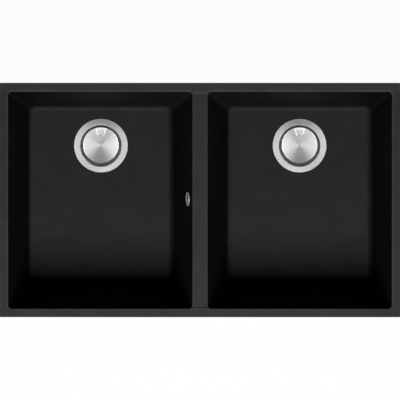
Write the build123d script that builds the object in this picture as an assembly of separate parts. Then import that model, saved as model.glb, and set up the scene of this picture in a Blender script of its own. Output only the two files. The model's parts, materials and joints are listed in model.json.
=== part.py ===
"""Double bowl kitchen sink in black composite, to be fixed under a worktop.

Millimetres. The origin is the centre of the sink in plan, on the top plane of its rim.
+X points right, +Y to the back, +Z up, so the whole sink hangs below z = 0.
"""
from build123d import *
import math
import os

# ---- for all pieces ------------------------------------------------------------------------
CUT = 1.0                    # a cutter reaches this far past the face it opens
RUNNING_GAP = 0.3            # between pieces that lift apart
GASKET_INSET = 1.0           # a gasket's edges lie this far behind those it seals

# ---- composite body ------------------------------------------------------------------------
BOWL_LENGTH = 391.0          # bowl opening, left to right
BOWL_WIDTH = 461.0           # bowl opening, front to back
RIM_WIDTH = 18.0             # flat rim round the openings
DIVIDER_WIDTH = 32.0         # between the two openings
RIM_THICKNESS = 12.0
RIM_CORNER_R = 3.0           # plan corners of the rim
RIM_EDGE_R = 1.0             # rounding of the rim's outer top edge
OPENING_EDGE_R = 3.0         # rounding where rim and divider turn down into the bowls
DIVIDER_DROP = 3.0           # the divider's top lies this far below the rim
DIVIDER_STEP_R = 3.0         # hollow and rounding of the step at each end of the divider
BOWL_DEPTH = 200.0           # rim to floor at the waste
DRAFT_ANGLE = 12.0           # lean of every bowl wall
CORNER_TOP_R = 7.0           # upright corners of a bowl at the opening
CORNER_FLOOR_R = 17.0        # and at its floor
FLOOR_FILLET_R = 12.0
FLOOR_FALL_ANGLE = 1.0       # the floor falls from the front to the waste near the back
WALL = 9.0
FLOOR = 10.0
UNDERSIDE_FILLET_R = 14.0

# ---- basket waste --------------------------------------------------------------------------
WASTE_FROM_BACK = 127.5      # waste's centre, in front of the opening's back edge
FLANGE_WIDTH = 14.4
FLANGE_SLOPE = 5.0           # the flange falls outwards
FLANGE_SHEET = 1.2
FLANGE_GASKET = 1.0          # under the flange's outer edge
FLANGE_CLEARANCE = 1.5       # between the flange and the edge of its recess
CUP_R = 42.6                 # inside the cup's mouth
HOLE_CLEARANCE = 1.2         # floor's hole, round the cup
CUP_BEND_R = 3.0             # where flange turns into cup
CUP_MOUTH = 7.0              # depth of the ledge that carries the basket
LEDGE_WIDTH = 2.2
LEDGE_BEND_R = 0.5
CUP_DEPTH = 34.0             # floor to the pan's outer edge
CUP_TAPER = 1.6
CUP_CORNER_R = 3.0
PAN_FALL = 2.0
SEAT_TOP_R = 29.0
SEAT_TAPER = 3.0
SEAT_HEIGHT = 4.0
SEAT_BEND_R = 1.5
SUMP_DEPTH = 6.0
SUMP_HOLE_R = 5.0
SUMP_HOLE_CIRCLE_R = 16.0
SUMP_HOLES = 8

BASKET_SHEET = 0.8
BASKET_LIP_GAP = 0.5         # round the basket's lip, in the mouth
BASKET_CLEARANCE = 3.4       # basket's side, inside the ledge
BASKET_FLOOR_GAP = 3.0       # basket's underside, above the pan's edge
BASKET_BEND_R = 1.0          # where the lip turns down
BASKET_CORNER_R = 3.0
BASKET_HOLE_R = 1.9
BASKET_HOLE_PITCH = 6.2
BASKET_FIRST_RING_R = 12.0
BASKET_RINGS = 4
SLOT_WIDTH = 2.4
SLOT_HEIGHT = 9.0
SLOTS = 24
STEM_R = 3.5                 # through the basket's floor and the seal
STEM_NECK_R = 4.5
STEM_COLLAR_R = 6.0
STEM_COLLAR = 2.0
STEM_FOOT_R = 9.0
STEM_FOOT = 2.0
KNOB_R = 9.0
KNOB = 5.0
KNOB_EDGE_R = 1.5
KNOB_GAP = 1.5               # knob's top below the cover's support
SEAL = 8.0                   # seal's thickness

COVER_GAP = 3.8              # cover's edge, inside the cup's mouth
COVER_DISH = 1.6             # its middle lies this far below its edge
COVER_SHEET = 1.0
COVER_SINK = 0.8             # cover's top below the bowl's floor
COVER_SKIRT = 2.4            # turned-down edge
COVER_EDGE_R = 1.6
COVER_PLAY = 1.5             # sideways play of the cover on its basket
COVER_SHIFT = 1.2            # it lies this far to the back of its play
TAB_WIDTH = 23.4             # finger recess, at the cover's edge
TAB_NECK_WIDTH = 16.8
TAB_FLARE = 8.9              # length over which it narrows
TAB_LENGTH = 16.8
TAB_DEPTH = 0.6
TAB_BORDER = 3.4             # flat strip between the recess and the cover's edge
TAB_SLOPE = 0.5              # width of the recess's sloping sides
SUPPORT_HUB_R = 12.0
SUPPORT = 2.2                # thickness of hub and arms
SUPPORT_ARM_WIDTH = 6.0
SUPPORT_ARMS = 3
SUPPORT_NOSE = 2.0           # width of the nose that keeps the cover centred
SUPPORT_NOSE_DROP = 3.0      # and its reach into the basket
SUPPORT_RING = 1.2           # thickness of the ring that lies on the basket's lip
SUPPORT_RING_GAP = 0.8       # between that ring and the cup's mouth

# ---- waste body under the floor ------------------------------------------------------------
BODY_GASKET = 2.0
BODY_CLEARANCE = 2.2         # between the cup and the body's bore
BODY_WALL = 2.6
BODY_FLANGE_WIDTH = 5.4
BODY_FLANGE = 4.0
BODY_DEPTH = 31.0            # gasket to the start of the funnel
FUNNEL = 22.0
OUTLET_R = 23.9              # outside of the G 1 1/2 thread
OUTLET_BORE_R = 20.4
OUTLET_LENGTH = 28.0
SPIDER_HUB_R = 8.0
SPIDER = 16.0
SPIDER_RIB = 3.0
SPIDER_RIBS = 4
CLAMP_SCREW_R = 3.0          # M6
CLAMP_HEAD_R = 6.0
CLAMP_HEAD = 3.3
CLAMP_HEAD_EDGE_R = 1.5
CLAMP_TIP = 2.0              # screw's end past its insert
INSERT_R = 5.0
INSERT = 13.0
INLET_DROP = 15.0            # inlet's axis below the gasket
INLET_REACH = 17.4           # body's side to the end of the inlet's collar

# ---- overflow ------------------------------------------------------------------------------
OVERFLOW_DEPTH = 45.0        # rim to the overflow's centre
OVERFLOW_HOLE_R = 13.0
ROSETTE_R = 15.0
ROSETTE = 2.0                # height off the wall
ROSETTE_SHEET = 1.0
ROSETTE_EDGE_R = 1.4
ROSETTE_RIM = 3.2            # width of the raised rim's top
ROSETTE_DISH = 0.8           # depth of the hollow inside the rim
ROSETTE_BEND_R = 0.5         # where the hollow meets its floor
ROSETTE_SLOT_R = 8.0
ROSETTE_SLOT_WIDTH = 2.6
ROSETTE_SLOT_ANGLE = 55.0
ROSETTE_SLOTS = 4
FIX_SCREW_R = 2.5            # M5
FIX_HEAD_R = 4.2
FIX_HEAD = 1.2
FIX_DRIVE_WIDTH = 1.0
FIX_DRIVE_LENGTH = 4.6
FIX_DRIVE_DEPTH = 0.8
FIX_INSERT_R = 4.0
FIX_INSERT = 9.0
OVERFLOW_GASKET = 2.0
OVERFLOW_GASKET_R = 19.0
ELBOW_FLANGE_R = 20.0
ELBOW_FLANGE = 3.0
ELBOW_R = 15.0
ELBOW_WALL = 2.2
ELBOW_REACH = 24.0           # gasket to the elbow's closed end
ELBOW_BOSS_R = 6.0
ELBOW_DROP = 26.0            # elbow's centre to the end of its collar

# ---- overflow hose -------------------------------------------------------------------------
HOSE_BORE_R = 8.5
HOSE_ROOT_R = 10.0
HOSE_CREST_R = 11.8
HOSE_PITCH = 5.0
HOSE_RIB = (                 # one rib: share of the pitch, radius
    (0.1, HOSE_ROOT_R),
    (0.3, HOSE_CREST_R),
    (0.7, HOSE_CREST_R),
    (0.9, HOSE_ROOT_R),
)
HOSE_BEND_R = 80.0
HOSE_CUFF = 21.0             # plain stretch at each end
NOZZLE = 14.0                # spigot inside the hose
NOZZLE_BORE_R = 7.0
COLLAR_R = 11.5              # threaded collar behind the nozzle
NUT_R = 15.0
NUT_ON_COLLAR = 8.0
NUT_ON_HOSE = 10.0
NUT_GRIPS = 12
NUT_GRIP_R = 1.6

# ---- what follows from them ----------------------------------------------------------------
SINK_LENGTH = 2 * BOWL_LENGTH + DIVIDER_WIDTH + 2 * RIM_WIDTH
SINK_WIDTH = BOWL_WIDTH + 2 * RIM_WIDTH
BOWL_X = (BOWL_LENGTH + DIVIDER_WIDTH) / 2
WASTE_Y = BOWL_WIDTH / 2 - WASTE_FROM_BACK
LEAN = math.radians(DRAFT_ANGLE)
DRAFT = math.tan(LEAN)
WALL_ACROSS = WALL / math.cos(LEAN)
FLOOR_Z = -BOWL_DEPTH
UNDERSIDE_Z = FLOOR_Z - FLOOR

FLANGE_R = CUP_R + FLANGE_WIDTH
FLANGE_FALL = math.tan(math.radians(FLANGE_SLOPE))
FLOOR_HOLE_R = CUP_R + FLANGE_SHEET + HOLE_CLEARANCE
CREST_R = CUP_R + CUP_BEND_R
FLANGE_EDGE_Z = FLOOR_Z - (FLANGE_R - CREST_R) * FLANGE_FALL
RECESS_Z = FLANGE_EDGE_Z - FLANGE_SHEET - FLANGE_GASKET
LEDGE_Z = FLOOR_Z - CUP_MOUTH
LEDGE_R = CUP_R - LEDGE_WIDTH
PAN_Z = FLOOR_Z - CUP_DEPTH
SEAT_Z = PAN_Z - PAN_FALL
SEAT_BOTTOM_R = SEAT_TOP_R - SEAT_TAPER
SEAT_END_Z = SEAT_Z - SEAT_HEIGHT
SUMP_Z = SEAT_END_Z - SUMP_DEPTH

LIP_Z = LEDGE_Z + BASKET_SHEET
BASKET_Z = PAN_Z + BASKET_FLOOR_GAP
BASKET_R = LEDGE_R - BASKET_CLEARANCE
BASKET_BORE_R = BASKET_R - BASKET_SHEET
SEAL_Z = BASKET_Z - SEAL
COVER_R = CUP_R - COVER_GAP
COVER_Z = FLOOR_Z - COVER_SINK
COVER_MIDDLE_Z = COVER_Z - COVER_DISH
COVER_LEAN = math.atan(COVER_DISH / COVER_R)
UNDER_COVER = COVER_SHEET / math.cos(COVER_LEAN)
SUPPORT_Z = COVER_MIDDLE_Z - UNDER_COVER - SUPPORT
KNOB_Z = SUPPORT_Z - KNOB_GAP

BODY_BORE_R = CUP_R + FLANGE_SHEET + BODY_CLEARANCE
BODY_R = BODY_BORE_R + BODY_WALL
BODY_FLANGE_R = BODY_R + BODY_FLANGE_WIDTH
BODY_Z = UNDERSIDE_Z - BODY_GASKET
FUNNEL_Z = BODY_Z - BODY_DEPTH
OUTLET_Z = FUNNEL_Z - FUNNEL
OUTLET_END_Z = OUTLET_Z - OUTLET_LENGTH
INLET_Z = BODY_Z - INLET_DROP

OVERFLOW_PLANE = Plane(
    origin=(-DIVIDER_WIDTH / 2 - OVERFLOW_DEPTH * DRAFT, 0, -OVERFLOW_DEPTH),
    x_dir=(0, 1, 0),
    z_dir=(-math.cos(LEAN), 0, math.sin(LEAN)),
)
ELBOW_FACE = -WALL - OVERFLOW_GASKET         # along the overflow's own axis
ELBOW_END = ELBOW_FACE - ELBOW_REACH
ELBOW_CENTRE = OVERFLOW_PLANE.from_local_coords(Vector(0, 0, ELBOW_FACE - ELBOW_REACH / 2))
HOSE_TOP = ELBOW_CENTRE - Vector(0, 0, ELBOW_DROP)
INLET_CENTRE = Vector(-BOWL_X, WASTE_Y, INLET_Z)
INLET_WAY = Vector(HOSE_TOP.X - INLET_CENTRE.X, HOSE_TOP.Y - INLET_CENTRE.Y, 0).normalized()
INLET_END = BODY_R + INLET_REACH
DOWN = Vector(0, 0, -1)


# ---- helpers -------------------------------------------------------------------------------
def ring(outer, inner, bottom, top):
    """A flat ring about the Z axis, or a disc if the inner radius is 0."""
    disc = Circle(outer) - Circle(inner) if inner else Circle(outer)
    return Pos(0, 0, bottom) * extrude(disc, top - bottom)


def turned(*outline):
    """The solid of revolution of a closed outline of (radius, height) points."""
    return revolve(make_face(Polyline(*on_side(outline), close=True)), Axis.Z)


def on_side(outline):
    return [(radius, 0, height) for radius, height in outline]


def pressed(thickness, radii, *outline):
    """A turned sheet: the outline is its upper face, from the edge in to the axis."""
    upper = FilletPolyline(*on_side(outline), radius=radii)
    band = offset(upper, thickness, side=Side.RIGHT, kind=Kind.INTERSECTION)
    return revolve(make_face(band), Axis.Z)


def around(count, piece, start=0.0):
    return [Rot(0, 0, start + 360 / count * i) * piece for i in range(count)]


def aimed(point, way):
    """A place whose Z axis points a given way."""
    return Plane(origin=point, z_dir=way).location


def write(name, shape):
    export_step(Compound(children=list(shape.solids())), f"parts/{name}.step")


# ---- composite body ------------------------------------------------------------------------
def bowl_section(depth, length, grow):
    """A bowl's plan outline at a depth, grown outwards for its outer skin."""
    corner = CORNER_TOP_R + depth / BOWL_DEPTH * (CORNER_FLOOR_R - CORNER_TOP_R) + grow
    wider = 2 * (grow - depth * DRAFT)
    return Pos(0, 0, -depth) * RectangleRounded(length + wider, BOWL_WIDTH + wider, corner)


def tapered(top_depth, bottom_depth, grow=0.0):
    top = bowl_section(top_depth, BOWL_LENGTH, grow)
    bottom = bowl_section(bottom_depth, BOWL_LENGTH, grow)
    return loft([top, bottom], ruled=True)


def below_floor():
    """All below the bowl's floor, which is one plane, level from left to right."""
    fall = math.tan(math.radians(FLOOR_FALL_ANGLE))
    front = -BOWL_WIDTH / 2
    back = BOWL_WIDTH / 2
    side = Polyline(
        (0, front, FLOOR_Z + (WASTE_Y - front) * fall),
        (0, back, FLOOR_Z + (WASTE_Y - back) * fall),
        (0, back, FLOOR_Z - BOWL_DEPTH),
        (0, front, FLOOR_Z - BOWL_DEPTH),
        close=True,
    )
    return extrude(make_face(side), BOWL_LENGTH, dir=(1, 0, 0), both=True)


def bowl_cavity():
    cavity = tapered(-RIM_THICKNESS, -UNDERSIDE_Z) - below_floor()
    cavity = fillet(cavity.faces().sort_by(Axis.Z)[0].edges(), FLOOR_FILLET_R)
    recess = ring(FLANGE_R + FLANGE_CLEARANCE, 0, RECESS_Z, FLOOR_Z + FLOOR_FILLET_R)
    hole = ring(FLOOR_HOLE_R, 0, UNDERSIDE_Z - CUT, FLOOR_Z)
    return cavity + Pos(0, WASTE_Y, 0) * (recess + hole)


def divider_trough():
    """What is cut off the divider's top, with an S-shaped step at each end."""
    turn = math.acos(1 - DIVIDER_DROP / 2 / DIVIDER_STEP_R)
    run = DIVIDER_STEP_R * math.sin(turn)
    half_run = DIVIDER_STEP_R * math.sin(turn / 2)
    half_drop = DIVIDER_STEP_R * (1 - math.cos(turn / 2))
    top = BOWL_WIDTH / 2
    foot = top - 2 * run
    outline = Curve() + Line((0, -foot, -DIVIDER_DROP), (0, foot, -DIVIDER_DROP))
    outline += Polyline((0, top, 0), (0, top, CUT), (0, -top, CUT), (0, -top, 0))
    for end in (-1, 1):
        middle = (0, end * (top - run), -DIVIDER_DROP / 2)
        crown = (0, end * (top - half_run), -half_drop)
        hollow = (0, end * (foot + half_run), half_drop - DIVIDER_DROP)
        outline += ThreePointArc((0, end * top, 0), crown, middle)
        outline += ThreePointArc(middle, hollow, (0, end * foot, -DIVIDER_DROP))
    return extrude(make_face(outline), BOWL_X, dir=(1, 0, 0), both=True)


def opening_edges(body):
    """Both openings' edges, over the rim, down the steps and along the divider."""
    def borders_an_opening(edge):
        start, middle, end = (edge @ share for share in (0, 0.5, 1))
        near_top = all(-DIVIDER_DROP - RUNNING_GAP < p.Z < RUNNING_GAP for p in (start, middle, end))
        within_length = abs(middle.X) < (SINK_LENGTH - RIM_WIDTH) / 2
        within_width = abs(middle.Y) < (SINK_WIDTH - RIM_WIDTH) / 2
        crosses_divider = start.X * end.X < 0 and edge.length < 3 * DIVIDER_WIDTH
        return near_top and within_length and within_width and not crosses_divider
    return body.edges().filter_by(borders_an_opening)


def sink_body():
    rim = extrude(RectangleRounded(SINK_LENGTH, SINK_WIDTH, RIM_CORNER_R), -RIM_THICKNESS)
    body = fillet(rim.faces().sort_by(Axis.Z)[-1].edges(), RIM_EDGE_R)
    shell = tapered(0, -UNDERSIDE_Z, grow=WALL_ACROSS)
    shell = fillet(shell.faces().sort_by(Axis.Z)[0].edges(), UNDERSIDE_FILLET_R)
    cavity = bowl_cavity()
    for side in (-BOWL_X, BOWL_X):
        body += Pos(side, 0, 0) * shell
    for side in (-BOWL_X, BOWL_X):
        body -= Pos(side, 0, 0) * cavity
    body -= divider_trough()
    body = fillet(opening_edges(body), OPENING_EDGE_R)
    return body - OVERFLOW_PLANE * ring(OVERFLOW_HOLE_R, 0, -2 * WALL, WALL)


# ---- basket waste: pieces that stay --------------------------------------------------------
def waste_flange():
    edge = (FLANGE_R, FLANGE_EDGE_Z)
    mouth = (CUP_R, FLOOR_Z + CUP_BEND_R * FLANGE_FALL)
    ledge = [(CUP_R, LEDGE_Z), (LEDGE_R, LEDGE_Z)]
    pan = [(LEDGE_R - CUP_TAPER, PAN_Z), (SEAT_TOP_R, SEAT_Z)]
    seat = [(SEAT_BOTTOM_R, SEAT_END_Z), (SEAT_BOTTOM_R, SUMP_Z)]
    radii = [CUP_BEND_R, LEDGE_BEND_R, LEDGE_BEND_R + FLANGE_SHEET, CUP_CORNER_R] + 3 * [SEAT_BEND_R]
    flange = pressed(FLANGE_SHEET, radii, edge, mouth, *ledge, *pan, *seat, (0, SUMP_Z))
    bottom = SUMP_Z - FLANGE_SHEET - CUT
    hole = Pos(SUMP_HOLE_CIRCLE_R, 0, 0) * ring(SUMP_HOLE_R, 0, bottom, SUMP_Z + CUT)
    flange -= around(SUMP_HOLES, hole)
    return flange - ring(CLAMP_SCREW_R, 0, bottom, SUMP_Z + CUT)


def flange_gasket():
    """Its top follows the flange's slope."""
    sheet = FLANGE_SHEET / math.cos(math.radians(FLANGE_SLOPE))
    inner = FLOOR_HOLE_R + GASKET_INSET
    outer = FLANGE_R - GASKET_INSET
    inner_z = FLANGE_EDGE_Z + (FLANGE_R - inner) * FLANGE_FALL - sheet
    outer_z = FLANGE_EDGE_Z + (FLANGE_R - outer) * FLANGE_FALL - sheet
    return turned((inner, RECESS_Z), (outer, RECESS_Z), (outer, outer_z), (inner, inner_z))


def body_gasket():
    return ring(BODY_FLANGE_R - GASKET_INSET, BODY_BORE_R + GASKET_INSET, BODY_Z, UNDERSIDE_Z)


def clamp_screw():
    tip = OUTLET_Z - INSERT - CLAMP_TIP
    head = ring(CLAMP_HEAD_R, 0, SUMP_Z, SUMP_Z + CLAMP_HEAD)
    head = fillet(head.edges().sort_by(Axis.Z)[-1], CLAMP_HEAD_EDGE_R)
    return head + ring(CLAMP_SCREW_R, 0, tip, SUMP_Z)


def screw_insert():
    return ring(INSERT_R, CLAMP_SCREW_R, OUTLET_Z - INSERT, OUTLET_Z)


def waste_body(with_inlet):
    body = turned(
        (0, BODY_Z), (BODY_FLANGE_R, BODY_Z), (BODY_FLANGE_R, BODY_Z - BODY_FLANGE),
        (BODY_R, BODY_Z - BODY_FLANGE), (BODY_R, FUNNEL_Z), (OUTLET_R, OUTLET_Z),
        (OUTLET_R, OUTLET_END_Z), (0, OUTLET_END_Z),
    )
    hollow = turned(
        (0, BODY_Z + CUT), (BODY_BORE_R, BODY_Z + CUT), (BODY_BORE_R, FUNNEL_Z), (OUTLET_BORE_R, OUTLET_Z),
        (OUTLET_BORE_R, OUTLET_END_Z - CUT), (0, OUTLET_END_Z - CUT),
    )
    if with_inlet:
        inlet = aimed((0, 0, INLET_Z), INLET_WAY)
        body += inlet * ring(COLLAR_R, 0, BODY_BORE_R - BODY_WALL, INLET_END)
        body += inlet * ring(HOSE_BORE_R, 0, BODY_BORE_R, INLET_END + NOZZLE)
        hollow += inlet * ring(NOZZLE_BORE_R, 0, BODY_BORE_R / 2, INLET_END + NOZZLE + CUT)
    body -= hollow
    spider = ring(SPIDER_HUB_R, 0, OUTLET_Z - SPIDER, OUTLET_Z)
    rib = Pos(0, 0, OUTLET_Z - SPIDER / 2) * Box(
        OUTLET_BORE_R + BODY_WALL / 2, SPIDER_RIB, SPIDER, align=(Align.MIN, Align.CENTER, Align.CENTER)
    )
    spider += around(SPIDER_RIBS, rib, start=45)
    return body + spider - ring(INSERT_R, 0, OUTLET_Z - SPIDER - CUT, OUTLET_Z + CUT)


# ---- basket waste: pieces that lift out ----------------------------------------------------
def basket():
    lip_r = CUP_R - BASKET_LIP_GAP
    floor_z = BASKET_Z + BASKET_SHEET
    radii = [BASKET_BEND_R, BASKET_CORNER_R]
    shell = pressed(
        BASKET_SHEET, radii,
        (lip_r, LIP_Z), (BASKET_BORE_R, LIP_Z), (BASKET_BORE_R, floor_z), (0, floor_z),
    )
    drill = ring(BASKET_HOLE_R, 0, BASKET_Z - CUT, floor_z + CUT)
    holes = [ring(STEM_R, 0, BASKET_Z - CUT, floor_z + CUT)]
    for row in range(BASKET_RINGS):
        circle = BASKET_FIRST_RING_R + row * BASKET_HOLE_PITCH
        holes += around(int(2 * math.pi * circle / BASKET_HOLE_PITCH), Pos(circle, 0, 0) * drill)
    slot = Rot(0, 90, 0) * extrude(SlotOverall(SLOT_HEIGHT, SLOT_WIDTH), 2 * BASKET_CORNER_R)
    slot_z = (LIP_Z + BASKET_Z) / 2
    holes += around(SLOTS, Pos(BASKET_R - BASKET_CORNER_R, 0, slot_z) * slot)
    return shell - holes


def basket_stem():
    floor_z = BASKET_Z + BASKET_SHEET
    stem = turned(
        (0, KNOB_Z), (KNOB_R, KNOB_Z), (KNOB_R, KNOB_Z - KNOB), (STEM_NECK_R, KNOB_Z - KNOB),
        (STEM_NECK_R, floor_z + STEM_COLLAR), (STEM_COLLAR_R, floor_z + STEM_COLLAR),
        (STEM_COLLAR_R, floor_z), (STEM_R, floor_z), (STEM_R, SEAL_Z), (STEM_FOOT_R, SEAL_Z),
        (STEM_FOOT_R, SEAL_Z - STEM_FOOT), (0, SEAL_Z - STEM_FOOT),
    )
    wide = stem.edges().filter_by(lambda edge: edge.length > 4 * KNOB_R)
    return fillet(wide.sort_by(Axis.Z)[-2:], KNOB_EDGE_R)


def basket_seal():
    """Its edge runs parallel to the seat's cone."""
    cone = (SEAT_TOP_R - SEAT_BOTTOM_R) / SEAT_HEIGHT
    gap = RUNNING_GAP * math.hypot(1, cone)
    upper_r = SEAT_TOP_R - gap
    lower_r = upper_r - (SEAT_Z - SEAL_Z) * cone
    return turned(
        (STEM_R, BASKET_Z), (upper_r, BASKET_Z), (upper_r, SEAT_Z), (lower_r, SEAL_Z),
        (STEM_R, SEAL_Z),
    )


def finger_recess():
    edge_y = COVER_R - TAB_BORDER
    neck_y = edge_y - TAB_FLARE
    half = TAB_NECK_WIDTH / 2
    outline = Polyline((-half, neck_y), (-TAB_WIDTH / 2, edge_y), (TAB_WIDTH / 2, edge_y), (half, neck_y))
    outline += ThreePointArc((half, neck_y), (0, edge_y - TAB_LENGTH), (-half, neck_y))
    return make_face(outline)


def cover():
    """A shallow dish with a turned-down edge; the finger recess leans with the dish."""
    disc = pressed(
        COVER_SHEET, [COVER_EDGE_R],
        (COVER_R, COVER_Z - COVER_SKIRT), (COVER_R, COVER_Z), (0, COVER_MIDDLE_Z),
    )
    dent = Pos(0, 0, -TAB_DEPTH) * extrude(finger_recess(), TAB_DEPTH + CUT)
    dent = chamfer(dent.faces().sort_by(Axis.Z)[0].edges(), TAB_SLOPE)
    dent = Pos(0, 0, COVER_MIDDLE_Z) * Rot(math.degrees(COVER_LEAN), 0, 0) * dent
    return disc + Pos(0, 0, -UNDER_COVER) * dent - dent


def cover_support():
    """A hub, arms with noses that reach into the basket, and a ring that fills the cup's mouth."""
    reach = COVER_R - COVER_EDGE_R - RUNNING_GAP
    nose_r = BASKET_BORE_R - COVER_PLAY
    foot_from = nose_r - SUPPORT_NOSE
    under_cover = turned(
        (0, COVER_MIDDLE_Z - UNDER_COVER), (COVER_R, COVER_Z - UNDER_COVER),
        (COVER_R, COVER_Z), (0, COVER_Z),
    )
    support = ring(SUPPORT_HUB_R, 0, SUPPORT_Z, COVER_Z)
    rest = ring(CUP_R - SUPPORT_RING_GAP, foot_from, LIP_Z, LIP_Z + SUPPORT_RING)
    support += Pos(0, -COVER_SHIFT, 0) * rest
    arm = Pos(0, 0, SUPPORT_Z) * Box(
        reach, SUPPORT_ARM_WIDTH, COVER_Z - SUPPORT_Z,
        align=(Align.MIN, Align.CENTER, Align.MIN),
    )
    arm += Pos(foot_from, 0, LIP_Z) * Box(
        COVER_R - foot_from, SUPPORT_ARM_WIDTH, COVER_Z - COVER_SKIRT - LIP_Z,
        align=(Align.MIN, Align.CENTER, Align.MIN),
    )
    arm += Pos(foot_from, 0, LIP_Z) * Box(
        SUPPORT_NOSE, SUPPORT_ARM_WIDTH, SUPPORT_NOSE_DROP,
        align=(Align.MIN, Align.CENTER, Align.MAX),
    )
    return support + around(SUPPORT_ARMS, arm, start=-90) - under_cover


# ---- overflow ------------------------------------------------------------------------------
def rosette():
    dish_z = ROSETTE - ROSETTE_DISH
    dish_r = ROSETTE_R - ROSETTE_SHEET - ROSETTE_RIM
    plate = pressed(
        ROSETTE_SHEET, [ROSETTE_EDGE_R, ROSETTE_DISH, ROSETTE_BEND_R],
        (ROSETTE_R, 0), (ROSETTE_R, ROSETTE), (dish_r + ROSETTE_DISH, ROSETTE),
        (dish_r, dish_z), (0, dish_z),
    )
    plate -= ring(FIX_SCREW_R, 0, -ROSETTE, 2 * ROSETTE)
    for i in range(ROSETTE_SLOTS):
        start = (360 * i + 180) / ROSETTE_SLOTS - ROSETTE_SLOT_ANGLE / 2
        arc = CenterArc((0, 0), ROSETTE_SLOT_R, start, ROSETTE_SLOT_ANGLE)
        plate -= extrude(SlotArc(arc, ROSETTE_SLOT_WIDTH), ROSETTE, both=True)
    return OVERFLOW_PLANE * plate


def overflow_screw():
    seat = ROSETTE - ROSETTE_DISH
    head = ring(FIX_HEAD_R, 0, seat, seat + FIX_HEAD)
    head = fillet(head.edges().sort_by(Axis.Z)[-1], FIX_HEAD / 2)
    drive = Pos(0, 0, seat + FIX_HEAD) * Box(FIX_DRIVE_LENGTH, FIX_DRIVE_WIDTH, 2 * FIX_DRIVE_DEPTH)
    head -= [Rot(0, 0, 45) * drive, Rot(0, 0, 135) * drive]
    return OVERFLOW_PLANE * (head + ring(FIX_SCREW_R, 0, ELBOW_END, seat))


def overflow_gasket():
    return OVERFLOW_PLANE * ring(OVERFLOW_GASKET_R, OVERFLOW_HOLE_R, ELBOW_FACE, -WALL)


def overflow_insert():
    return OVERFLOW_PLANE * ring(FIX_INSERT_R, FIX_SCREW_R, ELBOW_END, ELBOW_END + FIX_INSERT)


def overflow_elbow():
    bore_r = ELBOW_R - ELBOW_WALL
    drop = aimed(ELBOW_CENTRE, DOWN)
    body = OVERFLOW_PLANE * ring(ELBOW_FLANGE_R, 0, ELBOW_FACE - ELBOW_FLANGE, ELBOW_FACE)
    body += OVERFLOW_PLANE * ring(ELBOW_R, 0, ELBOW_END, ELBOW_FACE)
    body += drop * ring(COLLAR_R, 0, 0, ELBOW_DROP)
    body += drop * ring(HOSE_BORE_R, 0, 0, ELBOW_DROP + NOZZLE)
    body -= OVERFLOW_PLANE * ring(bore_r, 0, ELBOW_END + ELBOW_WALL, ELBOW_FACE + CUT)
    body -= drop * ring(NOZZLE_BORE_R, 0, ELBOW_BOSS_R + ELBOW_WALL, ELBOW_DROP + NOZZLE + CUT)
    body += OVERFLOW_PLANE * ring(ELBOW_BOSS_R, 0, ELBOW_END, ELBOW_END + FIX_INSERT)
    return body - OVERFLOW_PLANE * ring(FIX_INSERT_R, 0, ELBOW_END - CUT, ELBOW_FACE + CUT)


# ---- overflow hose -------------------------------------------------------------------------
HOSE_SIDE = INLET_WAY.cross(DOWN)            # level, square to the hose's upright plane
HOSE_END = INLET_CENTRE + INLET_WAY * INLET_END
BEND_TOP = Vector(HOSE_TOP.X, HOSE_TOP.Y, INLET_Z + HOSE_BEND_R)
BEND_CENTRE = BEND_TOP - INLET_WAY * HOSE_BEND_R
BEND_END = BEND_CENTRE + DOWN * HOSE_BEND_R
HOSE_DROP = (HOSE_TOP - BEND_TOP).length
HOSE_TURN = HOSE_BEND_R * math.pi / 2
HOSE_LENGTH = HOSE_DROP + HOSE_TURN + (BEND_END - HOSE_END).length


def hose_place(way):
    """The plane square to the hose at a way along it from its top."""
    turn = min(max((way - HOSE_DROP) / HOSE_BEND_R, 0), math.pi / 2)
    along = DOWN * math.cos(turn) - INLET_WAY * math.sin(turn)
    outward = INLET_WAY * math.cos(turn) + DOWN * math.sin(turn)
    point = BEND_CENTRE + outward * HOSE_BEND_R
    before = min(way - HOSE_DROP, 0)
    after = max(way - HOSE_DROP - HOSE_TURN, 0)
    return Plane(origin=point + along * (before + after), x_dir=HOSE_SIDE, z_dir=along)


def hose_sections():
    """Four circles for each rib, and one at each end of the plain cuffs."""
    ribbed = HOSE_LENGTH - 2 * HOSE_CUFF
    ribs = int(ribbed / HOSE_PITCH)
    pitch = ribbed / ribs
    sections = [(0, HOSE_ROOT_R)]
    for rib in range(ribs):
        sections += [(HOSE_CUFF + (rib + share) * pitch, radius) for share, radius in HOSE_RIB]
    return sections + [(HOSE_LENGTH, HOSE_ROOT_R)]


def overflow_hose():
    skin = loft([hose_place(way) * Circle(radius) for way, radius in hose_sections()], ruled=True)
    bend_middle = hose_place(HOSE_DROP + HOSE_TURN / 2).origin
    path = Line(HOSE_TOP, BEND_TOP) + ThreePointArc(BEND_TOP, bend_middle, BEND_END)
    path += Line(BEND_END, HOSE_END)
    return skin - sweep(hose_place(0) * Circle(HOSE_BORE_R), path)


def hose_nut(place):
    """Threaded on a collar behind the place, it grips the hose's cuff in front of it."""
    nut = ring(NUT_R, HOSE_ROOT_R, -NUT_ON_COLLAR, NUT_ON_HOSE)
    nut -= ring(COLLAR_R, 0, -2 * NUT_ON_COLLAR, 0)
    grip = Pos(NUT_R + NUT_GRIP_R / 2, 0, 0) * ring(NUT_GRIP_R, 0, -2 * NUT_ON_COLLAR, 2 * NUT_ON_HOSE)
    return place * (nut - around(NUT_GRIPS, grip))


# ---- the sink's pieces ---------------------------------------------------------------------
os.makedirs("parts", exist_ok=True)
write("sink_body", sink_body())

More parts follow.
